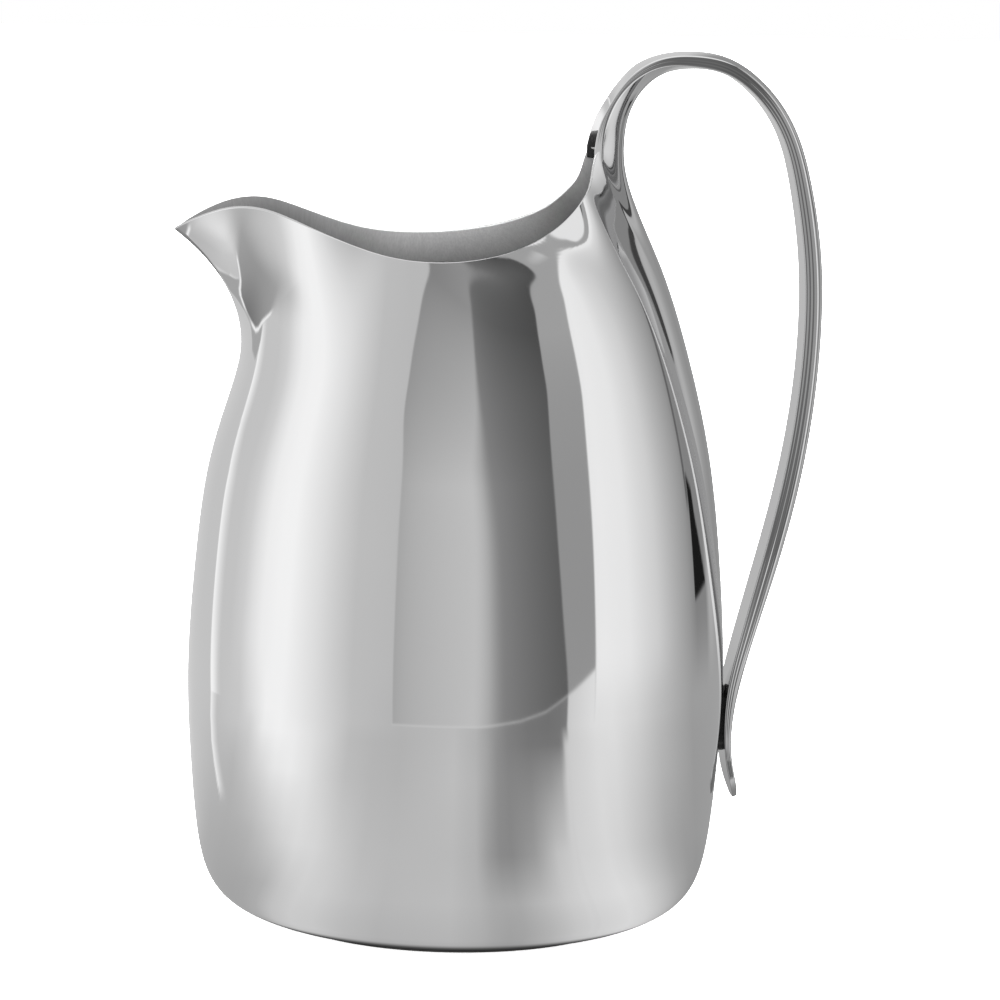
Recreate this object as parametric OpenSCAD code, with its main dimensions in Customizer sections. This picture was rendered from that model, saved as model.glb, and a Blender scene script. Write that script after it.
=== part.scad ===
// Water pitcher: a round-bellied metal jug with a beak spout, a saddle-shaped rim
// and one solid bar handle that grows out of a tongue at the back of the rim.
// +Z is up, the spout points to -X, the handle to +X, and the whole jug is
// symmetric about the XZ plane. The origin is the centre of the standing ring.

/* [Body] */
// Radius of the belly at its widest
belly_r = 67; // [60:0.5:74]
// Thickness of the sheet wall
wall = 1; // [0.8:0.1:1.6]
// Height at which the side starts to flare into the spout and the tongue
flare_z = 136; // [130:1:145]
// How far the throat under the spout is drawn in
throat_depth = 1.9; // [0:0.1:2.5]
// Height of the top edge of the tongue, where the handle begins
tongue_z = 193.5; // [190:0.5:196]

/* [Base] */
// Outer radius of the flat standing ring
stand_r = 40.5; // [39:0.5:42]
// Width of the flat standing ring
stand_w = 3; // [2:0.5:4]
// Depth of the recess inside the standing ring
recess = 2.4; // [1.5:0.1:3.5]
// Thickness of the pressed bottom
base_t = 1.2; // [0.8:0.1:1.6]

/* [Handle] */
// Width of the bar, as a share of its drawn width
bar_width = 1; // [0.9:0.05:1.1]
// How much narrower the crowned face is than the flat one, on each side
bar_taper = 0.5; // [0:0.1:1.2]
// Height of the brazed pad between the lower handle and the belly
braze_tall = 17; // [8:1:18]
// Width of the brazed pad
braze_wide = 7; // [5:0.5:9]

/* [Hidden] */

// Angular step of the wall, and the rows up the heel and up the side
step = 3;
heel_rows = 5;
side_rows = 18;
// Rings along the handle, and points across each of its two faces
handle_rings = 100;
face_points = 9;
// Seams are a little deeper than the gap they fill
bite = 0.3;

// Heel: a cubic from the standing ring to the side, as [radius, height]
heel = [[37, 0], [61, 3.6], [63, 7.4], [65.4, 32]];
// Share of the heel's curve where the wall meets the pressed bottom
heel_from = 0.16;
// Side: [height, radius less the belly's]
side = [
    [32, -1.6], [60, 0], [90, -1.5], [120, -5.3], [145, -11.4],
    [165, -18.2], [180, -24.8], [190, -27.7], [198, -27.9]
];
// Throat under the spout: height of its deepest point, then its reach in height and in angle
throat_z = 137;
throat_tall = 17;
throat_wide = 28;
// Rim: [angle from the handle, radius, height]; the first station mirrors the third
rim = [
    [-9, 37.4, 193.5], [0, 39.1, 193.5], [9, 37.4, 193.5], [18, 33.4, 193.5],
    [25, 33.1, 187.4], [34, 33.6, 183.2], [46, 33.8, 178.6], [60, 35.7, 174.9],
    [76, 40.4, 171.7], [92, 45.6, 169.5], [108, 48.2, 169.2], [125, 48.6, 171.6],
    [140, 51.6, 175.6], [152, 53.9, 178.3], [162, 56.8, 179.1], [170, 61.9, 177.8],
    [175.5, 67.4, 175], [180, 71.7, 172.2]
];
// Handle, along the face that looks into the finger loop:
// [x, z, half width, edge rise, crown height, edge height]
bar = [
    [39.1, 193.5, 10.2, 6.3, 1, 8.5],
    [39.4, 198.2, 8.4, 5.9, 2.2, 7.7],
    [40.6, 203.2, 7.3, 5.1, 4, 6.2],
    [43.6, 208.4, 6.7, 3.8, 5.8, 5.2],
    [48.4, 212.2, 6.3, 2.2, 5, 4.2],
    [55, 213.6, 6, 0.8, 4.4, 3.4],
    [63, 212.6, 6, 0.2, 4.2, 3],
    [69.8, 208.4, 6, 0, 4.1, 2.9],
    [77.1, 198.9, 6, 0, 4.3, 2.9],
    [81.6, 184.1, 6, 0, 4.8, 3.2],
    [84.3, 165, 6, 0, 5.1, 3.3],
    [84.6, 148.5, 6, 0, 5.1, 3.4],
    [83, 128.3, 6.1, 0, 5.2, 3.5],
    [79.5, 107.9, 6.4, 0, 5.3, 3.6],
    [74.6, 87.5, 6.8, 0, 5, 3.5],
    [70.2, 70, 7.2, 0, 4.2, 3],
    [67.8, 58, 7.6, 0, 3.6, 2.4],
    [67.3, 48, 8, 0, 2.6, 1.8],
    [68.2, 39, 8.2, 0, 2.1, 1.6],
    [69.7, 33, 6.6, 0, 1.7, 1.4],
    [70.3, 31, 3.4, 0, 1.4, 1.2]
];
// Height of the middle of the brazed pad
braze_z = 51;

// A smooth curve through a table's rows: column c as a function of column 0
function span(p, x) = max(0, min(len(p) - 2, len([for (q = p) if (q[0] <= x) 1]) - 1));
function slope(p, k, c) =
    let (a = p[max(k - 1, 0)], b = p[min(k + 1, len(p) - 1)])
    (b[c] - a[c]) / (b[0] - a[0]);
function blend(a, b, sa, sb, t) =
    (2 * t - 3) * t * t * (a - b) + a + (t - 2) * t * t * sa + t * sa + (t - 1) * t * t * sb;
function curve(p, x, c) =
    let (k = span(p, x), w = p[k + 1][0] - p[k][0])
    blend(p[k][c], p[k + 1][c], w * slope(p, k, c), w * slope(p, k + 1, c), (x - p[k][0]) / w);
function bezier(p, t) =
    let (s = 1 - t)
    s * s * s * p[0] + 3 * s * s * t * p[1] + 3 * s * t * t * p[2] + t * t * t * p[3];

// The wall's outer surface
function side_r(z) = belly_r + curve(side, z, 1);
function rim_z(a) = min(tongue_z, curve(rim, a, 2));
function flare(a) = curve(rim, a, 1) - side_r(rim_z(a));
function lift(a, z) = pow(max(0, (z - flare_z) / (rim_z(a) - flare_z)), 2.5);
function throat(a, z) =
    throat_depth * exp(-pow((z - throat_z) / throat_tall, 2) - pow((180 - a) / throat_wide, 2));
function polar(a, r, z) = [r * cos(a), r * sin(a), z];
function heel_point(a, t) =
    let (q = bezier(heel, heel_from + (1 - heel_from) * t))
    polar(a, q[0] + belly_r - 67, q[1]);
function side_point(a, t) =
    let (
        turn = abs(a),
        rise = 1 - pow(1 - t, 1.25),
        foot = heel[3][1],
        z = foot + (rim_z(turn) - foot) * rise
    )
    polar(a, side_r(z) + flare(turn) * lift(turn, z) - throat(turn, z), z);
function wall_point(a, row) =
    row < heel_rows ? heel_point(a, row / heel_rows)
                    : side_point(a, (row - heel_rows) / side_rows);

// The wall's inner surface: each outer point moved in along the surface's normal
turns = 360 / step;
rows = heel_rows + side_rows;
outer = [for (row = [0 : rows]) [for (k = [0 : turns - 1]) wall_point(k * step - 180, row)]];
function unit(v) = v / norm(v);
function inward(row, k) =
    let (
        along = outer[row][(k + 1) % turns] - outer[row][(k + turns - 1) % turns],
        up = outer[min(row + 1, rows)][k] - outer[max(row - 1, 0)][k]
    )
    unit(cross(up, along));
inner = [for (row = [0 : rows]) [for (k = [0 : turns - 1]) outer[row][k] + wall * inward(row, k)]];

// Faces that join two neighbouring rings of n points, which start at a and at b
function band(a, b, n) = [for (k = [0 : n - 1]) each
    let (m = (k + 1) % n) [[a + k, b + k, a + m], [a + m, b + k, b + m]]];

module body_shell() {
    n = turns;
    skin = (rows + 1) * n;
    color("silver")
    polyhedron(
        points = concat([for (r = outer) each r], [for (r = inner) each r]),
        faces = concat(
            [for (row = [0 : rows - 1]) each band(row * n, (row + 1) * n, n)],
            [for (row = [0 : rows - 1]) each band(skin + (row + 1) * n, skin + row * n, n)],
            band(rows * n, skin + rows * n, n),
            band(skin, 0, n)
        ),
        convexity = 10
    );
}

// The pressed bottom: its flat ring stands on the table and carries the whole jug
joint = bezier(heel, heel_from) + [belly_r - 67, 0];
module base_pan() {
    ring_in = stand_r - stand_w;
    color("silver")
    rotate_extrude($fn = 180)
    polygon([
        [0, recess], [ring_in - 5, recess], [ring_in, 0], [stand_r, 0], joint,
        joint + [0, base_t], [stand_r, base_t], [ring_in + 0.3, base_t],
        [ring_in - 4.6, recess + base_t], [0, recess + base_t]
    ]);
}

module base_weld() {
    color("gainsboro")
    rotate_extrude($fn = 180)
    translate([joint[0] - 0.2, joint[1] + base_t])
    circle(d = base_t, $fn = 24);
}

// Handle: sections swept along the bar's table, which is read by length along the path
function run(k) = k == 0 ? 0 : run(k - 1) + norm([bar[k][0] - bar[k - 1][0], bar[k][1] - bar[k - 1][1]]);
path = [for (k = [0 : len(bar) - 1]) concat([run(k)], bar[k])];
path_end = path[len(path) - 1][0];
function section(s) =
    let (
        p = [for (c = [1 : 6]) curve(path, s, c)],
        d = 0.05,
        from = max(0, s - d),
        to = min(path_end, s + d),
        t = unit([curve(path, to, 1) - curve(path, from, 1), curve(path, to, 2) - curve(path, from, 2)]),
        half = p[2] * bar_width,
        lean = bar_taper * min(1, max(0, (p[5] - p[3]) / 2.5)),
        across = [for (k = [0 : face_points - 1]) 2 * k / (face_points - 1) - 1],
        under = [for (q = across) [q * half, p[3] * q * q]],
        over = [for (q = across) [-q * (half - lean), p[4] + (p[5] - p[4]) * q * q]]
    )
    [for (q = concat(under, over)) [p[0] - q[1] * t[1], q[0], p[1] + q[1] * t[0]]];

module handle() {
    n = 2 * face_points;
    ends = [[for (k = [0 : n - 1]) k], [for (k = [n - 1 : -1 : 0]) handle_rings * n + k]];
    color("silver")
    polyhedron(
        points = [for (i = [0 : handle_rings]) each section(path_end * i / handle_rings)],
        faces = concat([for (i = [0 : handle_rings - 1]) each band(i * n, (i + 1) * n, n)], ends),
        convexity = 10
    );
}

module handle_foot_braze() {
    surface_x = side_r(braze_z);
    gap = curve([for (k = [len(bar) - 1 : -1 : 12]) [bar[k][1], bar[k][0]]], braze_z, 1) - surface_x;
    color("gainsboro")
    translate([surface_x - 2 * bite, 0, braze_z])
    rotate([0, 90, 0])
    linear_extrude(gap + 3 * bite)
    hull() {
        translate([(braze_wide - braze_tall) / 2, 0])
        circle(d = braze_wide, $fn = 48);
        translate([(braze_tall - braze_wide) / 2, 0])
        circle(d = braze_wide, $fn = 48);
    }
}

body_shell();
base_pan();
base_weld();
handle();
handle_foot_braze();
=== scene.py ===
"""Polished steel water pitcher: fine meshes, materials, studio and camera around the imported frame."""

import math

import bpy
import numpy as np
from mathutils import Matrix, Vector


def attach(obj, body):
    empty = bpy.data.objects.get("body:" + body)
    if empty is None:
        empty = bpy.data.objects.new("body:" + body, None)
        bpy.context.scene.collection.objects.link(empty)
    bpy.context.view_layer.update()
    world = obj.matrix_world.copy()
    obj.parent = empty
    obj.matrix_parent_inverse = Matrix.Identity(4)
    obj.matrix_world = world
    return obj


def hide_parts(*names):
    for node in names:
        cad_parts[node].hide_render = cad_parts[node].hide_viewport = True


MM = 0.001  # the shape tables below are in millimetres, and Blender works in metres

# ---------------------------------------------------------------- frame
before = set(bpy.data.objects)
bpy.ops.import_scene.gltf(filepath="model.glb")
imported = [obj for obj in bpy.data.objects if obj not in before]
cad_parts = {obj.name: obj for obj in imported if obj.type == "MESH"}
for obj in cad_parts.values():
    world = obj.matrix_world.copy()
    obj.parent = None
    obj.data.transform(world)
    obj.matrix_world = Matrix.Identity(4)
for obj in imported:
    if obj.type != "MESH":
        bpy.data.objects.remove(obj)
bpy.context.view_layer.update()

# ---------------------------------------------------------------- shape, as the CAD draws it
BELLY_R = 67.0
WALL = 1.0
FLARE_Z, FLARE_POWER = 136.0, 2.5
TONGUE_Z = 193.5
THROAT_Z, THROAT_DEPTH = 137.0, 1.9
THROAT_TALL, THROAT_WIDE = 17.0, 28.0
HEEL = np.array([(37.0, 0.0), (61.0, 3.6), (63.0, 7.4), (65.4, 32.0)])  # radius, height
HEEL_FROM = 0.16
SIDE = np.array([  # height, radius less the belly's
    (32, -1.6), (60, 0), (90, -1.5), (120, -5.3), (145, -11.4),
    (165, -18.2), (180, -24.8), (190, -27.7), (198, -27.9),
])
RIM = np.array([  # angle from the handle, radius, height
    (-9, 37.4, 193.5), (0, 39.1, 193.5), (9, 37.4, 193.5), (18, 33.4, 193.5),
    (25, 33.1, 187.4), (34, 33.6, 183.2), (46, 33.8, 178.6), (60, 35.7, 174.9),
    (76, 40.4, 171.7), (92, 45.6, 169.5), (108, 48.2, 169.2), (125, 48.6, 171.6),
    (140, 51.6, 175.6), (152, 53.9, 178.3), (162, 56.8, 179.1), (170, 61.9, 177.8),
    (175.5, 67.4, 175.0), (180, 71.7, 172.2),
])
TAPER = 0.5  # how much narrower the crowned face is on each side
RIDGE = 0.022  # depth of the polishing ridges along the side wall
BAR = np.array([  # x, z, half width, edge rise, crown height, edge height
    (39.1, 193.5, 10.2, 6.3, 1.0, 8.5), (39.4, 198.2, 8.4, 5.9, 2.2, 7.7),
    (40.6, 203.2, 7.3, 5.1, 4.0, 6.2), (43.6, 208.4, 6.7, 3.8, 5.8, 5.2),
    (48.4, 212.2, 6.3, 2.2, 5.0, 4.2), (55.0, 213.6, 6.0, 0.8, 4.4, 3.4),
    (63.0, 212.6, 6.0, 0.2, 4.2, 3.0), (69.8, 208.4, 6.0, 0.0, 4.1, 2.9),
    (77.1, 198.9, 6.0, 0.0, 4.3, 2.9), (81.6, 184.1, 6.0, 0.0, 4.8, 3.2),
    (84.3, 165.0, 6.0, 0.0, 5.1, 3.3), (84.6, 148.5, 6.0, 0.0, 5.1, 3.4),
    (83.0, 128.3, 6.1, 0.0, 5.2, 3.5), (79.5, 107.9, 6.4, 0.0, 5.3, 3.6),
    (74.6, 87.5, 6.8, 0.0, 5.0, 3.5), (70.2, 70.0, 7.2, 0.0, 4.2, 3.0),
    (67.8, 58.0, 7.6, 0.0, 3.6, 2.4), (67.3, 48.0, 8.0, 0.0, 2.6, 1.8),
    (68.2, 39.0, 8.2, 0.0, 2.1, 1.6), (69.7, 33.0, 6.6, 0.0, 1.7, 1.4),
    (70.3, 31.0, 3.4, 0.0, 1.4, 1.2),
])


def spline(knots, values, flat_start=False):
    """A cubic spline with smooth curvature through the knots: returns a function of position."""
    knots = np.asarray(knots, float)
    values = np.asarray(values, float)
    n = len(knots)
    h = np.diff(knots)
    a = np.zeros((n, n))
    b = np.zeros(n)
    for k in range(1, n - 1):
        a[k, k - 1:k + 2] = h[k - 1], 2 * (h[k - 1] + h[k]), h[k]
        b[k] = 6 * ((values[k + 1] - values[k]) / h[k] - (values[k] - values[k - 1]) / h[k - 1])
    a[0, 0] = a[-1, -1] = 1
    if flat_start:
        a[0, :2] = 2 * h[0], h[0]
        b[0] = 6 * (values[1] - values[0]) / h[0]
    bend = np.linalg.solve(a, b)

    def at(x):
        k = np.clip(np.searchsorted(knots, x, side="right") - 1, 0, n - 2)
        w, t = h[k], x - knots[k]
        s = w - t
        return (
            bend[k] * s ** 3 / (6 * w) + bend[k + 1] * t ** 3 / (6 * w)
            + (values[k] / w - bend[k] * w / 6) * s + (values[k + 1] / w - bend[k + 1] * w / 6) * t
        )

    return at


def bezier(points, t):
    """A cubic through four control points."""
    s = 1 - t[..., None]
    t = t[..., None]
    return s ** 3 * points[0] + 3 * s * s * t * points[1] + 3 * s * t * t * points[2] + t ** 3 * points[3]


side_rise = spline(SIDE[:, 0], SIDE[:, 1])
rim_radius = spline(RIM[1:, 0], RIM[1:, 1], flat_start=True)
rim_height = spline(RIM[3:, 0], RIM[3:, 2])


def side_r(z):
    return BELLY_R + side_rise(z)


def rim_z(turn):
    """The rim's height: level along the tongue's top, then the saddle curve."""
    tongue_end = RIM[3, 0]
    saddle = np.minimum(TONGUE_Z, rim_height(np.maximum(turn, tongue_end)))
    return np.where(turn <= tongue_end, TONGUE_Z, saddle)


def step(x, edge, soft):
    """0 below the edge and 1 above it, with a smooth change over twice soft."""
    t = np.clip((x - edge) / (2 * soft) + 0.5, 0, 1)
    return t * t * (3 - 2 * t)


def wall_radius(turn, z):
    """The outer wall: the round side, the flare to spout and tongue, and the throat's dent."""
    top = rim_z(turn)
    flare = rim_radius(turn) - side_r(top)
    lift = np.maximum(0, (z - FLARE_Z) / (top - FLARE_Z)) ** FLARE_POWER
    throat = np.exp(-((z - THROAT_Z) / THROAT_TALL) ** 2 - ((180 - turn) / THROAT_WIDE) ** 2)
    return side_r(z) + flare * lift - THROAT_DEPTH * throat


# ---------------------------------------------------------------- camera
def camera_object():
    """The photograph's viewpoint: a long lens about a metre away, a little above the rim."""
    distance, height, aside = 1100.0, 262.0, 10.2
    turn, tilt, roll = math.radians(4.8), 0.1411, 0.0215
    sensor, focal_share = 36.0, 4.456  # the lens as a multiple of the sensor's width
    data = bpy.data.cameras.new("camera")
    data.sensor_width = sensor
    data.lens = sensor * focal_share
    camera = bpy.data.objects.new("camera", data)
    bpy.context.scene.collection.objects.link(camera)
    spin = Matrix.Rotation(-turn, 4, "Z")
    place = Matrix.Translation(Vector((aside, -distance, height)) * MM)
    aim = Matrix.Rotation(math.pi / 2 - tilt, 4, "X") @ Matrix.Rotation(roll, 4, "Z")
    camera.matrix_world = spin @ place @ aim
    bpy.context.scene.camera = camera


camera_object()


# ---------------------------------------------------------------- mesh helpers
def mesh_object(name, points, faces, normals=None):
    """A smooth mesh from points in metres; normals, one a point, replace the faces' own."""
    mesh = bpy.data.meshes.new(name)
    mesh.from_pydata([tuple(p) for p in points], [], faces)
    mesh.validate()
    mesh.polygons.foreach_set("use_smooth", [True] * len(mesh.polygons))
    mesh.update()
    if normals is not None:
        normals = normals / np.linalg.norm(normals, axis=1, keepdims=True)
        mesh.normals_split_custom_set_from_vertices([tuple(v) for v in normals])
    piece = bpy.data.objects.new(name, mesh)
    bpy.context.scene.collection.objects.link(piece)
    return piece


def paint(piece, name, values):
    """One number a point, for a material to read by name."""
    layer = piece.data.attributes.new(name, "FLOAT", "POINT")
    layer.data.foreach_set("value", np.asarray(values, np.float32).ravel())


def ring_faces(rings, count):
    """The four-sided faces between closed rings of count points each."""
    faces = []
    for r in range(rings - 1):
        for k in range(count):
            n = (k + 1) % count
            faces.append((r * count + k, r * count + n, (r + 1) * count + n, (r + 1) * count + k))
    return faces


# ---------------------------------------------------------------- body shell
SATIN_PAINTED_LIGHT = np.array([  # angle from the handle, painted light and shade on the satin inside there, as a share of its colour
    (0, 0.3), (20, 0.33), (40, 0.42), (60, 0.95), (75, 1.05), (90, 0.92), (105, 0.78),
    (120, 0.5), (130, 0.37), (140, 0.24), (150, 0.18), (180, 0.15),
])
SATIN_SHADE_DEPTH = 10.0  # painted shade darkens the satin over this depth below the rim,
SATIN_SHADE_DARKEST = 0.3  # down to this share
LIP_DROP, LIP_CROWN = 0.3, 0.6  # how far the lip is cut down and how round it is, by the wall
ROW_SPACING = 1.25  # above 1, the side's rows crowd towards the rim
ANGLES = 384
ANGLE = (np.arange(ANGLES) - ANGLES / 2) * 360.0 / ANGLES  # of each column, from the handle
TURN = np.abs(ANGLE)
HEEL_ROWS, SIDE_ROWS = 24, 110
POLISHED_ROWS = HEEL_ROWS + SIDE_ROWS + 3  # the outside and two thirds of the lip


def wall_grid():
    """The outer wall's points, row by row from the base's seam to the rim."""
    rows = []
    for t in np.linspace(0, 1, HEEL_ROWS, endpoint=False):
        q = bezier(HEEL, np.array(HEEL_FROM + (1 - HEEL_FROM) * t))
        rows.append((np.full(ANGLES, q[0]), np.full(ANGLES, q[1])))
    top, foot = rim_z(TURN), HEEL[3, 1]
    for t in np.linspace(0, 1, SIDE_ROWS):
        z = foot + (top - foot) * (1 - (1 - t) ** ROW_SPACING)
        rows.append((wall_radius(TURN, z), z))
    c, s = np.cos(np.radians(ANGLE)), np.sin(np.radians(ANGLE))
    return np.array([np.stack([r * c, r * s, z], -1) for r, z in rows])


def grid_normals(grid):
    """Unit normals of a grid of closed rings."""
    along = np.roll(grid, -1, 1) - np.roll(grid, 1, 1)
    up = np.empty_like(grid)
    up[1:-1] = grid[2:] - grid[:-2]
    up[0], up[-1] = grid[1] - grid[0], grid[-1] - grid[-2]
    normal = np.cross(along, up)
    return normal / np.linalg.norm(normal, axis=-1, keepdims=True)


def body_shell():
    """The wall, with a rounded lip that turns flat where the bar grows out of the tongue."""
    outer = wall_grid()
    normal = grid_normals(outer)
    inner = outer - WALL * normal
    round_off = step(TURN, 21, 3)[:, None]
    rim_mid = (outer[-1] + inner[-1]) / 2
    up = outer[-1] - outer[-2]
    up /= np.linalg.norm(up, axis=-1, keepdims=True)
    sink = LIP_DROP * WALL * round_off * up
    lip, lip_normal = [], []
    for a in np.radians((30, 60, 90, 120, 150)):
        crown = LIP_CROWN * math.sin(a) * round_off * up
        lip.append(rim_mid - sink + WALL / 2 * (math.cos(a) * normal[-1] + crown))
        lip_normal.append(math.cos(a) * normal[-1] + math.sin(a) * up)
    outer[-1] -= sink
    inner[-1] -= sink
    grid = np.concatenate([outer, np.array(lip), inner[::-1]])
    normals = np.concatenate([normal, np.array(lip_normal), -normal[::-1]])
    faces = ring_faces(len(grid), ANGLES)
    last = (len(grid) - 1) * ANGLES
    for k in range(ANGLES):
        n = (k + 1) % ANGLES
        faces.append((last + k, last + n, n, k))
    piece = mesh_object("shell", grid.reshape(-1, 3) * MM, faces, normals.reshape(-1, 3))
    # Painted shade on the satin inside: it darkens with depth below the rim and changes with the angle from
    # the handle.
    depth = inner[-1, :, 2] - inner[::-1, :, 2]
    painted_shade = np.ones(grid.shape[:2])
    near_rim = np.clip(1 - depth / SATIN_SHADE_DEPTH, 0, 1)
    painted_shade[-len(inner):] = SATIN_SHADE_DARKEST + (1 - SATIN_SHADE_DARKEST) * near_rim
    painted_shade[-len(inner):] *= np.interp(TURN, *SATIN_PAINTED_LIGHT.T)
    paint(piece, "painted_shade", painted_shade)
    return piece


# ---------------------------------------------------------------- handle
FACE_POINTS = 21  # across each of the bar's two faces
CORNER = 0.35  # size of the softened corners
FULL_SIDE = 2.5  # a side wall this tall has its full lean and ridges
BAR_RINGS = 420
SKIRT = 3.0  # how far the bar's root reaches down behind the tongue
FLAT = slice(0, FACE_POINTS)  # the flat face's points in each section


def bar_sections(rings):
    """The bar's sections, evenly spaced along its path."""
    gaps = np.hypot(np.diff(BAR[:, 0]), np.diff(BAR[:, 1]))
    run = np.concatenate([[0], np.cumsum(gaps)])
    columns = [spline(run, BAR[:, c]) for c in range(6)]
    s = np.linspace(0, run[-1], rings)
    x, z, half, rise, crown, edge = [f(s) for f in columns]
    d = 0.05
    tx, tz = columns[0](s + d) - columns[0](s - d), columns[1](s + d) - columns[1](s - d)
    size = np.hypot(tx, tz)
    tx, tz = tx / size, tz / size
    grid = []
    for i in range(rings):
        points = section_outline(half[i], rise[i], crown[i], edge[i])
        grid.append([(x[i] - n * tz[i], y, z[i] + n * tx[i]) for y, n in points])
    return np.array(grid)


def section_outline(half, rise, crown, edge):
    """Across the bar: the flat face, a side wall that leans in a little, and the crowned face."""
    lean = TAPER * min(1.0, max(0.0, (edge - rise) / FULL_SIDE))
    soft = min(CORNER, 0.3 * math.hypot(edge - rise, lean))
    near, far = np.array([half, rise]), np.array([half - lean, edge])
    along = (far - near) / np.linalg.norm(far - near)
    out = np.array([along[1], -along[0]])

    def face(q, wide, middle, side):
        return np.stack([q * wide, middle + (side - middle) * q * q], -1)

    across = np.linspace(-1, 1, FACE_POINTS)
    flat = face(across * (1 - soft / half), half, 0, rise)
    crowned = face(-across * (1 - soft / (half - lean)), half - lean, crown, edge)
    first, last = near + soft * along, far - soft * along
    t = np.linspace(0, 1, 13)[:, None]
    ripple = RIDGE * np.sin(3 * 2 * math.pi * t) * np.sin(math.pi * t)
    wall = first + (last - first) * t + out * ripple * min(1.0, (edge - rise) / FULL_SIDE)

    def corner(a, b, c):
        t = np.array([0.25, 0.5, 0.75])[:, None]
        return (1 - t) ** 2 * a + 2 * t * (1 - t) * b + t * t * c

    side = np.concatenate([corner(flat[-1], near, first), wall, corner(last, far, crowned[0])])
    mirror_side = side[::-1] * (-1, 1)
    return np.concatenate([flat, side, crowned, mirror_side])


def handle():
    """The bar, whose first rings take up the tongue's own curve so the joint doesn't show."""
    grid = bar_sections(BAR_RINGS)
    outer = wall_grid()
    wall_normal = grid_normals(outer)[-1]
    outer = outer[-1]
    near = TURN <= 22.5
    order = np.argsort(outer[near][:, 1])

    def at_y(values, y):
        values = values[near][order]
        ys = outer[near][order][:, 1]
        return np.stack([np.interp(y, ys, values[:, k]) for k in range(3)], -1)

    count = grid.shape[1]
    run = np.concatenate([[0], np.linalg.norm(np.diff(grid.mean(1), axis=0), axis=1).cumsum()])
    y = grid[0, FLAT, 1]
    fade = (np.clip(1 - run / 9, 0, 1) ** 2)[:, None, None]
    grid[:, FLAT] += fade * (at_y(outer, y) - grid[0, FLAT])
    normal = grid_normals(grid)
    fade = (np.clip(1 - run / 7, 0, 1) ** 1.5)[:, None, None]
    normal[:, FLAT] = normal[:, FLAT] * (1 - fade) + at_y(wall_normal, y) * fade
    skirt = grid[:1].copy()
    skirt[:, FLAT] += (-0.4, 0, 0)
    skirt[:, FACE_POINTS:] += (0, 0, -SKIRT)
    grid, normal = np.concatenate([skirt, grid]), np.concatenate([normal[:1], normal])
    run = np.concatenate([run[:1], run])
    faces = ring_faces(len(grid), count)
    points, normals = [grid.reshape(-1, 3)], [normal.reshape(-1, 3)]
    for ring, flip in ((grid[0], -1), (grid[-1], 1)):
        start = sum(len(p) for p in points)
        faces.append(tuple(start + k for k in range(count))[::flip])
        corner = ring[FACE_POINTS - 1]
        end = flip * np.cross(corner - ring[0], ring[2 * FACE_POINTS - 2] - ring[0])
        points.append(ring)
        normals.append(np.tile(end, (count, 1)))
    piece = mesh_object("bar", np.concatenate(points) * MM, faces, np.concatenate(normals))
    # Painted shade on the bar: its flat face darkens beyond the root, and the whole bar darkens towards its
    # foot.
    painted_shade = np.ones((len(grid), count))
    painted_shade[:, FLAT] -= 0.4 * step(run, 32, 14)[:, None]
    painted_shade *= 1 - 0.35 * step(run, run[-1] - 34, 12)[:, None]
    paint(piece, "painted_shade", np.concatenate([painted_shade.ravel(), painted_shade[0], painted_shade[-1]]))
    return piece


# ---------------------------------------------------------------- base
def base_pan():
    """The pressed bottom, turned from one profile with softened corners."""
    joint = bezier(HEEL, np.array(HEEL_FROM))
    under = [(0, 2.4), (20, 2.4), (31.2, 2.4), (32.4, 2.3), (33.2, 2.0), (36.6, 0.4), (37.5, 0.05),
             (38.2, 0), (40.2, 0), (41.4, 0.12), (44, 0.75), (joint[0], joint[1])]
    over = [(joint[0], joint[1] + 1.2), (44, 1.95), (41.4, 1.3), (40.2, 1.2), (38.2, 1.2), (37.6, 1.3),
            (34.2, 2.9), (33, 3.45), (31.8, 3.6), (20, 3.6), (0, 3.6)]
    count = 256
    angles = np.radians(np.arange(count) * 360 / count)
    grid = np.array([[(r * math.cos(a), r * math.sin(a), z) for a in angles] for r, z in under + over])
    grid[0, :, :2] = grid[-1, :, :2] = 0
    points = [tuple(p) for ring in grid[1:-1] for p in ring]
    faces = ring_faces(len(grid) - 2, count)
    points += [tuple(grid[0, 0]), tuple(grid[-1, 0])]
    low, high, last = len(points) - 2, len(points) - 1, (len(grid) - 3) * count
    for k in range(count):
        n = (k + 1) % count
        faces.append((low, n, k))
        faces.append((high, last + k, last + n))
    return mesh_object("pan", np.array(points) * MM, faces)


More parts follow.
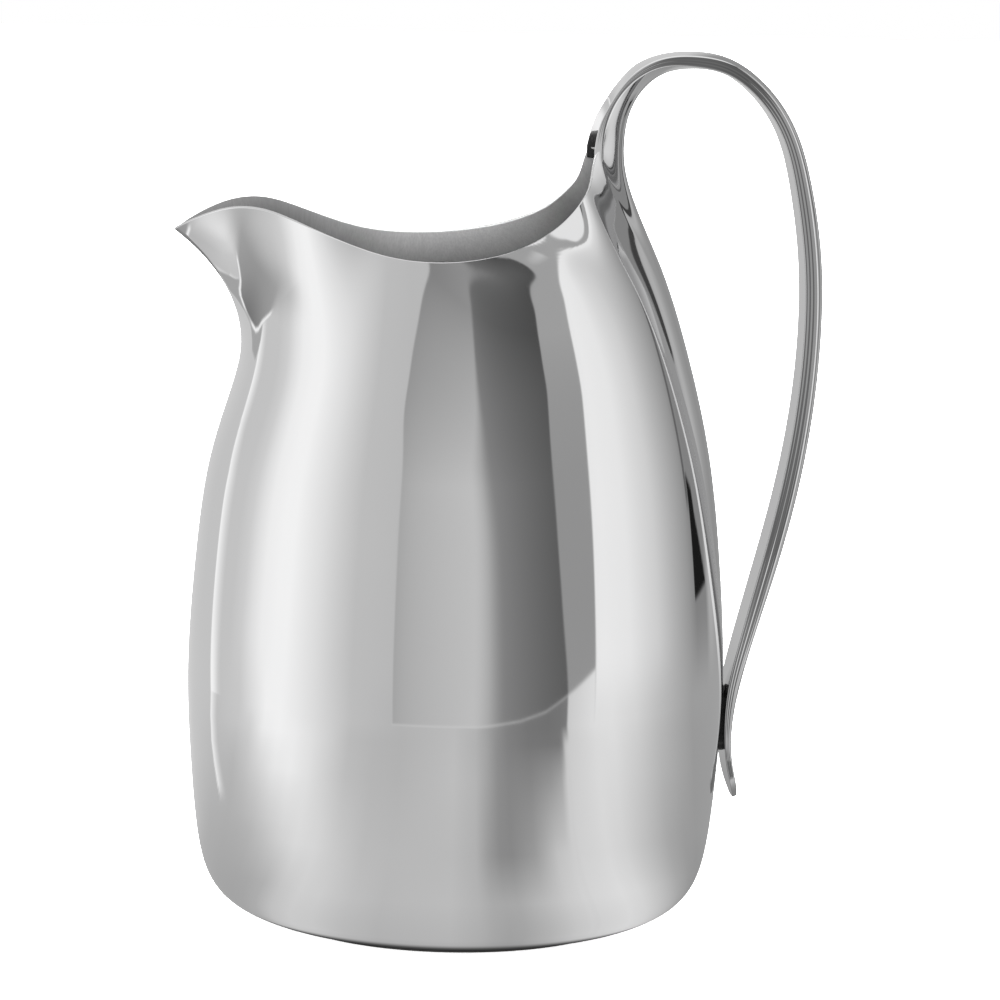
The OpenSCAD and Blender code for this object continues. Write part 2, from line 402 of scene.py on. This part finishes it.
# ---------------------------------------------------------------- materials
class Nodes:
    """A short way to write a material's node graph."""

    def __init__(self, name):
        self.material = bpy.data.materials.new(name)
        self.material.use_nodes = True
        self.tree = self.material.node_tree
        self.shader = self.tree.nodes["Principled BSDF"]
        self.shader.inputs["Metallic"].default_value = 1

    def add(self, kind, inputs=None, **settings):
        node = self.tree.nodes.new(kind)
        for key, value in settings.items():
            setattr(node, key, value)
        for key, value in (inputs or {}).items():
            if hasattr(value, "links"):
                self.tree.links.new(value, node.inputs[key])
            else:
                node.inputs[key].default_value = value
        return node

    def object_point(self, scale=(1, 1, 1), turn=(0, 0, 0)):
        place = self.add("ShaderNodeTexCoord").outputs["Object"]
        return self.add("ShaderNodeMapping", {"Vector": place, "Scale": scale, "Rotation": turn}).outputs[0]

    def noise(self, point, scale, detail=3.0):
        return self.add("ShaderNodeTexNoise", {"Vector": point, "Scale": scale, "Detail": detail}).outputs[0]

    def spread(self, value, low, high):
        """A noise's usual range, stretched to run from low to high."""
        mapped = self.add("ShaderNodeMapRange", {
            "Value": value, "From Min": 0.3, "From Max": 0.7, "To Min": low, "To Max": high})
        return mapped.outputs[0]

    def math(self, how, a, b):
        return self.add("ShaderNodeMath", {0: a, 1: b}, operation=how).outputs[0]

    def tint(self, factor, low, high):
        mixed = self.add("ShaderNodeMix", data_type="RGBA")
        self.tree.links.new(factor, mixed.inputs["Factor"])
        mixed.inputs[6].default_value = (*low, 1)
        mixed.inputs[7].default_value = (*high, 1)
        return mixed.outputs[2]

    def with_painted_shade(self, color):
        """The colour, darkened by the painted shade that the mesh carries as a layer of its own."""
        painted_shade = self.add("ShaderNodeAttribute", attribute_name="painted_shade").outputs["Fac"]
        return self.add("ShaderNodeVectorMath", {0: color, "Scale": painted_shade}, operation="SCALE").outputs[0]

    def finish(self, color, rough, height, depth):
        bump = self.add("ShaderNodeBump", {"Height": height, "Distance": depth, "Strength": 1.0})
        self.tree.links.new(color, self.shader.inputs["Base Color"])
        self.tree.links.new(rough, self.shader.inputs["Roughness"])
        self.tree.links.new(bump.outputs[0], self.shader.inputs["Normal"])
        return self.material


def mirror(name, low=0.015, high=0.05, wave=0.000004, with_painted_shade=False):
    """Mirror polish: hair-fine buffing marks, a trace of haze and the slow ripple of drawn sheet."""
    g = Nodes(name)
    point = g.object_point()
    haze = g.noise(point, 18.0, 4.0)
    hairs = g.noise(g.object_point((900, 900, 60), (0.3, 0.2, 0)), 1.0, 2.0)
    ripple = g.noise(g.object_point((1, 1, 0.6)), 26.0, 1.0)
    rough = g.math("ADD", g.spread(haze, low, high), g.spread(hairs, 0.0, 0.012))
    color = g.tint(haze, (0.85, 0.85, 0.855), (0.89, 0.89, 0.89))
    # On the bar, the colour is darkened by the painted shade that the mesh carries.
    if with_painted_shade:
        color = g.with_painted_shade(color)
    return g.finish(color, rough, ripple, wave)


def satin(name):
    """Satin brushing: short parallel scratches laid on a slant."""
    g = Nodes(name)
    g.shader.inputs["Metallic"].default_value = 0.35
    lines = g.noise(g.object_point((2600, 2600, 90), (0.0, 0.55, 0.0)), 1.0, 3.0)
    broad = g.noise(g.object_point((700, 700, 30), (0.0, 0.62, 0.0)), 1.0, 2.0)
    cloud = g.noise(g.object_point(), 30.0, 3.0)
    grain = g.math("ADD", g.math("MULTIPLY", lines, 0.65), g.math("MULTIPLY", broad, 0.35))
    rough = g.math("ADD", g.spread(grain, 0.42, 0.54), g.spread(cloud, -0.03, 0.03))
    color = g.tint(g.spread(grain, 0.0, 1.0), (0.78, 0.78, 0.785), (0.98, 0.98, 0.98))
    # The colour is darkened by the painted shade on the wall's inside.
    return g.finish(g.with_painted_shade(color), rough, grain, 0.00002)


def turned(name):
    """Base finish: fine rings from the lathe, with a little scuffing on the standing ring."""
    g = Nodes(name)
    point = g.object_point((1, 1, 0))
    radius = g.add("ShaderNodeVectorMath", {0: point}, operation="LENGTH").outputs["Value"]
    across = g.math("MULTIPLY", radius, 2600.0)
    ring = g.add("ShaderNodeCombineXYZ", {"X": across, "Y": 0.0, "Z": 0.0}).outputs[0]
    lines = g.noise(ring, 1.0, 3.0)
    scuff = g.noise(g.object_point(), 120.0, 4.0)
    rough = g.math("ADD", g.spread(lines, 0.2, 0.36), g.spread(scuff, -0.03, 0.06))
    color = g.tint(lines, (0.62, 0.62, 0.625), (0.78, 0.78, 0.78))
    return g.finish(color, rough, lines, 0.00002)


def filler(name):
    """Weld and braze: dull and faintly pitted, a dark joint whose near-black colour is also painted shadow
    for the shaded gap it sits in, far darker than the sheet.
    """
    g = Nodes(name)
    grit = g.noise(g.object_point(), 900.0, 4.0)
    cloud = g.noise(g.object_point(), 140.0, 3.0)
    # Near black: the joint's own dark colour, deepened into painted shadow.
    color = g.tint(cloud, (0.03, 0.03, 0.03), (0.07, 0.07, 0.07))
    return g.finish(color, g.spread(grit, 0.3, 0.5), grit, 0.00004)


# ---------------------------------------------------------------- pieces
shell = body_shell()
shell.data.materials.append(mirror("wall_mirror"))
shell.data.materials.append(satin("wall_satin"))
for face in shell.data.polygons:
    face.material_index = 0 if face.index < POLISHED_ROWS * ANGLES else 1
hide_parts("body_shell")
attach(shell, "root")

bar = handle()
bar.data.materials.append(mirror("bar_mirror", 0.02, 0.05, 0.000002, with_painted_shade=True))
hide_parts("handle")
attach(bar, "root")

pan = base_pan()
pan.data.materials.append(turned("base_turned"))
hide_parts("base_pan")
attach(pan, "root")

for node in ("base_weld", "handle_foot_braze"):
    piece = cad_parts[node]
    piece.data.materials.clear()
    piece.data.materials.append(filler(node + "_filler"))

# ---------------------------------------------------------------- studio
# A tent of soft light with grey flags, a glow over the table and one small flag under the
# spout, all of them seen only by reflections. Angles are round the jug from the camera's side,
# positive to the right, and a tone from 0 to 1 is how bright a spot looks in the steel.
# Where the tones and the flags' edges come from: reflections in the photograph were traced
# back to the tent by a separate program, and its figures were thinned, rounded and adjusted.
CAMERA_SIDE = -94.3
TENT_R = 365.0
TENT_H = 1300.0
STAGE_FOOT = -0.3  # the glow lies this far under the table's top, clear of the jug
TOP_LIGHT = 0.95
# The front flags together, from the left one's edge to the stripe's
FRONT_LEFT, FRONT_RIGHT, FRONT_SOFT = -24, 55.8, 0.4
RIGHT_FROM, RIGHT_TO = 55.5, 112  # the right side's tones are squeezed between these
# How light the tent's left and right sides are: angle, tone
LEFT = np.array([
    (-180, 0.78), (-154, 0.77), (-134, 0.75), (-104, 0.76), (-96, 0.80), (-90, 0.87), (-84, 0.925),
    (-76, 0.945), (-70, 0.945), (-64, 0.91), (-56, 0.86), (-48, 0.795), (-40, 0.735), (-24, 0.72),
])
RIGHT = np.array([
    (50, 0.90), (60, 0.91), (72, 0.895), (80, 0.845), (88, 0.80), (93, 0.75), (98, 0.70), (104, 0.645),
    (111, 0.58), (117, 0.50), (127, 0.50), (131, 0.66), (134, 0.67), (140, 0.58), (147, 0.54),
    (158, 0.56), (168, 0.78), (180, 0.78),
])
# Where the flags' edges hang: height, angle
PANEL_LEFT = np.array([
    (0, -23.6), (150, -23.8), (220, -24.6), (257, -25.6), (275, -24.8), (310, -20.8), (335, -17.8),
    (368, -13), (400, -7), (450, 4), (560, 30), (700, 60),
])
DARK_LEFT = np.array([
    (0, 13), (150, 11), (204, 9), (245, 8.6), (285, 7.6), (308, 7.8), (335, 9), (371, 11.6),
    (415, 16), (466, 23), (506, 32.6), (560, 48), (700, 80),
])
DARK_RIGHT = np.array([
    (0, 44.5), (48, 43.5), (75, 42.3), (110, 40.8), (150, 40), (190, 39.7), (230, 40), (272, 40.9),
    (308, 41.5), (354, 43.4), (414, 47.3), (488, 54.2), (571, 64.5), (600, 71.5), (622, 79),
    (640, 83), (700, 95),
])
STRIPE_RIGHT = np.array([
    (0, 55.8), (110, 56), (175, 56.3), (213, 57.1), (249, 58.3), (282, 59.2), (325, 60.8),
    (379, 63.8), (446, 69.3), (522, 77.9), (596, 89.6), (630, 99.5), (657, 109), (680, 113), (700, 115),
])
SOFT = np.array([(0, 7), (200, 5), (260, 2), (320, 0.8), (1300, 0.8)])  # height, softness
# Where the front flags end below: angle, height
FLAG_FOOT = np.array([(-24, 0), (10, 0), (25, 6), (35, 14), (41, 23), (47, 32), (56, 46)])
# Narrow marks on the tent, height and angle, and the light gap's run over the table, radius
# and angle
BLACK_EDGE = np.array([(57, 127.5), (74, 124), (93, 120.5), (110, 119.5), (122, 116.5)])
SLIVER = np.array([
    (0, -119), (40, -120.3), (62, -121), (86, -121.3), (121, -122), (148, -125), (158, -127), (180, -128),
])
SLIVER_FLOOR = np.array([(165, -104), (181, -107.6), (205, -111.5), (237, -115), (290, -117.6), (365, -119)])


def read(table, x):
    """The table's second column at x, in straight lines between the rows."""
    return np.interp(x, table[:, 0], table[:, 1])


def smooth_read(table, x):
    """The same along a smooth curve."""
    return spline(table[:, 0], table[:, 1])(np.clip(x, table[0, 0], table[-1, 0]))


def between(x, low, high, soft):
    """1 from low to high, 0 elsewhere."""
    return step(x, low, soft) * (1 - step(x, high, soft))


def sliver(offset):
    """A narrow light gap: sharp on the left, fading to the right."""
    return step(offset, 0, 0.5) * np.clip(1.05 - offset / 9, 0, 1) ** 1.2


def tent_tone(angle, height):
    """How light the tent looks at an angle and a height: each mark is laid over the last."""
    edges = (PANEL_LEFT, DARK_LEFT, DARK_RIGHT, STRIPE_RIGHT)
    a, b, c, d = (smooth_read(table, height) for table in edges)
    high = np.clip((height - 180) / 220, 0, 1)
    across = np.clip((angle - a) / (b - a), 0, 1)
    panel = (0.63 + 0.12 * np.sqrt(across)) * (1 - high) + (0.5 + 0.06 * across) * high
    into = np.clip((angle - b) / (c - b), 0, 1)
    dark = (0.56 - 0.2 * into ** 0.7) * (1 - high) + (0.43 - 0.14 * into ** 0.6) * high
    stripe = 0.565 + 0.05 * high
    right = RIGHT_FROM + (angle - d) * (RIGHT_TO - RIGHT_FROM) / np.maximum(RIGHT_TO - d, 1)
    right = np.where(angle > RIGHT_TO, angle, right)
    tone = read(LEFT, angle)
    tone = tone + (panel - tone) * step(angle, a, 0.4)
    tone = tone + (dark - tone) * step(angle, b, read(SOFT, height))
    tone = tone + (stripe - tone) * step(angle, c, 0.5)
    front = between(angle, FRONT_LEFT, FRONT_RIGHT, FRONT_SOFT)
    foot = read(FLAG_FOOT, angle)
    tone = tone + (floor_tone(angle, TENT_R) - tone) * front * step(foot, height, 1.5)
    tone = tone + (0.82 - tone) * 0.4 * front * between(height, foot - 1, foot + 2, 1)
    tone = tone + (read(RIGHT, right) - tone) * step(angle, d, 0.5)
    tone = tone + (floor_tone(angle, TENT_R) - tone) * (1 - step(height, 30, 28)) * (1 - front)
    tone = tone + (0.95 - tone) * sliver(angle - read(SLIVER, height))
    line = between(angle, 114.0, 115.6, 0.3) * between(height, 105, 680, 8)
    tone = tone + (0.36 - tone) * line
    black = between(angle, 116, read(BLACK_EDGE, height), 0.4) * between(height, 57, 122, 2)
    tone = tone + (0.1 - tone) * black
    line = between(angle, 126.4, 130.0, 0.4) * between(height, 180, 680, 5)
    tone = tone + (0.24 - tone) * line
    return tone + (0.88 - tone) * step(height, 652 + 25 * step(angle, 102, 3), 7)


FLOOR_R = np.array([50, 85, 130, 210, 290, 365])
FLOOR = np.array([  # angle, then a tone for each radius above
    (-180, 0.57, 0.60, 0.70, 0.78, 0.78, 0.78), (-164, 0.59, 0.62, 0.72, 0.77, 0.78, 0.78),
    (-154, 0.63, 0.66, 0.76, 0.80, 0.80, 0.78), (-140, 0.63, 0.66, 0.74, 0.76, 0.76, 0.76),
    (-112, 0.63, 0.66, 0.68, 0.72, 0.74, 0.75), (-96, 0.62, 0.65, 0.675, 0.71, 0.77, 0.78),
    (-88, 0.62, 0.65, 0.68, 0.76, 0.81, 0.86), (-80, 0.62, 0.65, 0.70, 0.83, 0.92, 0.94),
    (-72, 0.63, 0.66, 0.75, 0.90, 0.945, 0.945), (-64, 0.66, 0.69, 0.81, 0.92, 0.925, 0.91),
    (-56, 0.74, 0.77, 0.85, 0.88, 0.875, 0.86), (-48, 0.78, 0.81, 0.835, 0.81, 0.81, 0.80),
    (-40, 0.77, 0.80, 0.785, 0.74, 0.73, 0.74), (-30, 0.72, 0.75, 0.73, 0.71, 0.705, 0.72),
    (-20, 0.69, 0.72, 0.72, 0.70, 0.695, 0.70), (0, 0.70, 0.735, 0.725, 0.74, 0.735, 0.73),
    (8, 0.67, 0.70, 0.69, 0.705, 0.695, 0.70), (12, 0.64, 0.665, 0.60, 0.635, 0.64, 0.63),
    (16, 0.62, 0.655, 0.54, 0.55, 0.55, 0.56), (20, 0.63, 0.66, 0.53, 0.52, 0.50, 0.50),
    (28, 0.69, 0.725, 0.60, 0.52, 0.46, 0.455), (36, 0.76, 0.79, 0.75, 0.58, 0.455, 0.44),
    (40, 0.78, 0.81, 0.78, 0.64, 0.46, 0.45), (41.2, 0.79, 0.82, 0.79, 0.72, 0.50, 0.45),
    (42.4, 0.79, 0.82, 0.80, 0.79, 0.74, 0.46), (43.6, 0.79, 0.82, 0.80, 0.79, 0.79, 0.46),
    (44.4, 0.80, 0.83, 0.81, 0.80, 0.79, 0.79),
    (56, 0.83, 0.86, 0.84, 0.85, 0.85, 0.865), (64, 0.80, 0.835, 0.815, 0.84, 0.86, 0.87),
    (76, 0.71, 0.745, 0.735, 0.775, 0.80, 0.825), (88, 0.62, 0.65, 0.65, 0.695, 0.715, 0.74),
    (100, 0.56, 0.59, 0.605, 0.64, 0.65, 0.67), (112, 0.53, 0.565, 0.59, 0.595, 0.60, 0.61),
    (150, 0.54, 0.57, 0.59, 0.60, 0.61, 0.61), (160, 0.55, 0.58, 0.62, 0.66, 0.70, 0.72),
    (180, 0.57, 0.60, 0.70, 0.78, 0.78, 0.78),
])


def floor_tone(angle, radius):
    """How light the table looks at an angle and a radius, with a painted contact shadow round the jug's
    foot.
    """
    columns = np.array([np.interp(angle, FLOOR[:, 0], FLOOR[:, k + 1]) for k in range(len(FLOOR_R))])
    out = np.zeros(np.broadcast(angle, radius).shape)
    for k in range(len(FLOOR_R) - 1):
        low, high = FLOOR_R[k], FLOOR_R[k + 1]
        t = np.clip((radius - low) / (high - low), 0, 1)
        here = (radius >= low) if k else np.full(np.shape(out), True)
        out = np.where(here, columns[k] * (1 - t) + columns[k + 1] * t, out)
    out = out + (0.93 - out) * sliver(1.5 * (angle - read(SLIVER_FLOOR, radius))) * step(radius, 170, 12)
    # Painted contact shadow: the table turns dark inside a radius of 49 mm.
    return 0.15 + (out - 0.15) * step(radius, 49, 4)


def light_level(tone):
    """How bright a light must be for its reflection in the steel to look that tone."""
    return ((tone + 0.055) / 1.055) ** 2.4 / 0.87


def glow_piece(name, points, faces, level, cover=None):
    """A stage surface that only reflections see, lit by its painted levels where cover is 1."""
    piece = mesh_object(name, points * MM, faces)
    paint(piece, "level", level)
    material = bpy.data.materials.new(name)
    material.use_nodes = True
    nodes, links = material.node_tree.nodes, material.node_tree.links
    nodes.clear()
    read_level = nodes.new("ShaderNodeAttribute")
    read_level.attribute_name = "level"
    glow = nodes.new("ShaderNodeEmission")
    links.new(read_level.outputs["Fac"], glow.inputs["Strength"])
    shown = glow.outputs[0]
    if cover is not None:
        paint(piece, "cover", cover)
        read_cover = nodes.new("ShaderNodeAttribute")
        read_cover.attribute_name = "cover"
        mixed = nodes.new("ShaderNodeMixShader")
        links.new(read_cover.outputs["Fac"], mixed.inputs[0])
        links.new(nodes.new("ShaderNodeBsdfTransparent").outputs[0], mixed.inputs[1])
        links.new(shown, mixed.inputs[2])
        shown = mixed.outputs[0]
    links.new(shown, nodes.new("ShaderNodeOutputMaterial").inputs["Surface"])
    piece.data.materials.append(material)
    piece.rotation_euler = (0, 0, math.radians(CAMERA_SIDE))
    piece.visible_camera = False
    piece.visible_diffuse = False
    piece.visible_shadow = False
    piece.visible_transmission = False


TURNS = 1440
tent_angle = np.arange(TURNS) * 360.0 / TURNS - 180


def round_points(radius, angle, height):
    """Points from their distance and angle round the jug and their height."""
    turned_by = np.radians(angle)
    points = [radius * np.cos(turned_by), radius * np.sin(turned_by), np.broadcast_to(height, angle.shape)]
    return np.stack(points, -1).reshape(-1, 3)


def tent():
    low, middle, high = np.arange(1, 60, 1), np.arange(60, 720, 5), np.arange(720, TENT_H + 1, 50)
    heights = np.concatenate([[STAGE_FOOT], low, middle, high])
    angle, height = np.meshgrid(tent_angle, heights)
    points = round_points(TENT_R, angle, height)
    glow_piece("tent", points, ring_faces(len(heights), TURNS), light_level(tent_tone(angle, height)))


def table_glow():
    radii = np.concatenate([np.arange(20, 100, 4), np.arange(100, TENT_R, 6), [TENT_R]])
    angle, radius = np.meshgrid(tent_angle, radii)
    points = round_points(radius, angle, STAGE_FOOT)
    level = light_level(floor_tone(angle, radius))
    glow_piece("table_glow", points, ring_faces(len(radii), TURNS), level)


tent()
table_glow()

# A small grey flag held close under the spout, with a bright fold: angle, then height or tone
CARD_R = 82.0
CARD_EDGE = np.array([
    (-130, 146.5), (-112, 147), (-106, 146.5), (-103, 143.6), (-97, 143.6), (-94, 147),
    (-92, 151.2), (-86, 154), (-80, 157.5), (-74, 160), (-55, 164),
])
CARD_FOLD = np.array([
    (-130, 147), (-104, 147.3), (-100, 147.6), (-97, 148.6), (-93, 150.8), (-86, 154), (-55, 170),
])
CARD_BELOW, CARD_BRIGHT = 0.63, 0.94  # tones below the fold and on it
CARD_TONE = np.array([
    (-130, 0.46), (-104, 0.46), (-97, 0.52), (-91, 0.57), (-83, 0.61), (-74, 0.66), (-66, 0.70), (-55, 0.75),
])


def card():
    angle, height = np.meshgrid(np.arange(-130, -54.9, 0.5), np.arange(136, 172.1, 0.25))
    edge = read(CARD_EDGE, angle)
    soft = 0.5 + 6 * step(angle, -80, 8)
    cover = step(height, edge, soft) * (1 - step(height, 163, 4)) * (1 - step(angle, -65, 9))
    fold = read(CARD_FOLD, angle)
    line = between(height, fold - 0.6, fold + 0.15, 0.3) * between(angle, -105, -84, 2)
    tone = np.where(height > fold, read(CARD_TONE, angle), CARD_BELOW)
    tone = tone + (CARD_BRIGHT - tone) * line
    points = round_points(CARD_R, angle, height)
    rows, count = angle.shape
    faces = [(r * count + k, r * count + k + 1, (r + 1) * count + k + 1, (r + 1) * count + k)
             for r in range(rows - 1) for k in range(count - 1)]
    glow_piece("flag", points, faces, light_level(tone), np.maximum(cover, line))


card()

disc_angle = np.arange(0, 360, 5)
disc = round_points(TENT_R, disc_angle, TENT_H)
glow_piece("top_light", disc, [tuple(range(len(disc)))], np.full(len(disc), TOP_LIGHT))

bpy.ops.mesh.primitive_plane_add(size=12)
floor = bpy.context.object
floor.name = "floor"
floor.visible_glossy = False
table = bpy.data.materials.new("white_table")
table.use_nodes = True
table_shader = table.node_tree.nodes["Principled BSDF"]
table_shader.inputs["Base Color"].default_value = (0.9, 0.9, 0.9, 1)
table_shader.inputs["Roughness"].default_value = 1.0
table_shader.inputs["Emission Color"].default_value = (1, 1, 1, 1)
table_shader.inputs["Emission Strength"].default_value = 0.9
floor.data.materials.append(table)


def sky():
    """An even white surround: brighter for soft light, a little dimmer in mirror reflections."""
    extra_for_soft, extra_for_mirror = 2.8, -0.25
    world = bpy.data.worlds.new("world")
    world.use_nodes = True
    nodes, links = world.node_tree.nodes, world.node_tree.links
    background = nodes["Background"]
    ray = nodes.new("ShaderNodeLightPath")
    mirror_level = nodes.new("ShaderNodeMath")
    mirror_level.operation = "MULTIPLY_ADD"
    mirror_level.inputs[1].default_value = extra_for_mirror
    soft_level = nodes.new("ShaderNodeMath")
    soft_level.operation = "MULTIPLY_ADD"
    soft_level.inputs[1].default_value = extra_for_soft
    soft_level.inputs[2].default_value = 1.0
    links.new(ray.outputs["Is Glossy Ray"], mirror_level.inputs[0])
    links.new(ray.outputs["Is Diffuse Ray"], soft_level.inputs[0])
    links.new(soft_level.outputs[0], mirror_level.inputs[2])
    links.new(mirror_level.outputs[0], background.inputs["Strength"])
    background.inputs["Color"].default_value = (1, 1, 1, 1)
    bpy.context.scene.world = world


sky()
bpy.context.scene.view_settings.view_transform = "Standard"
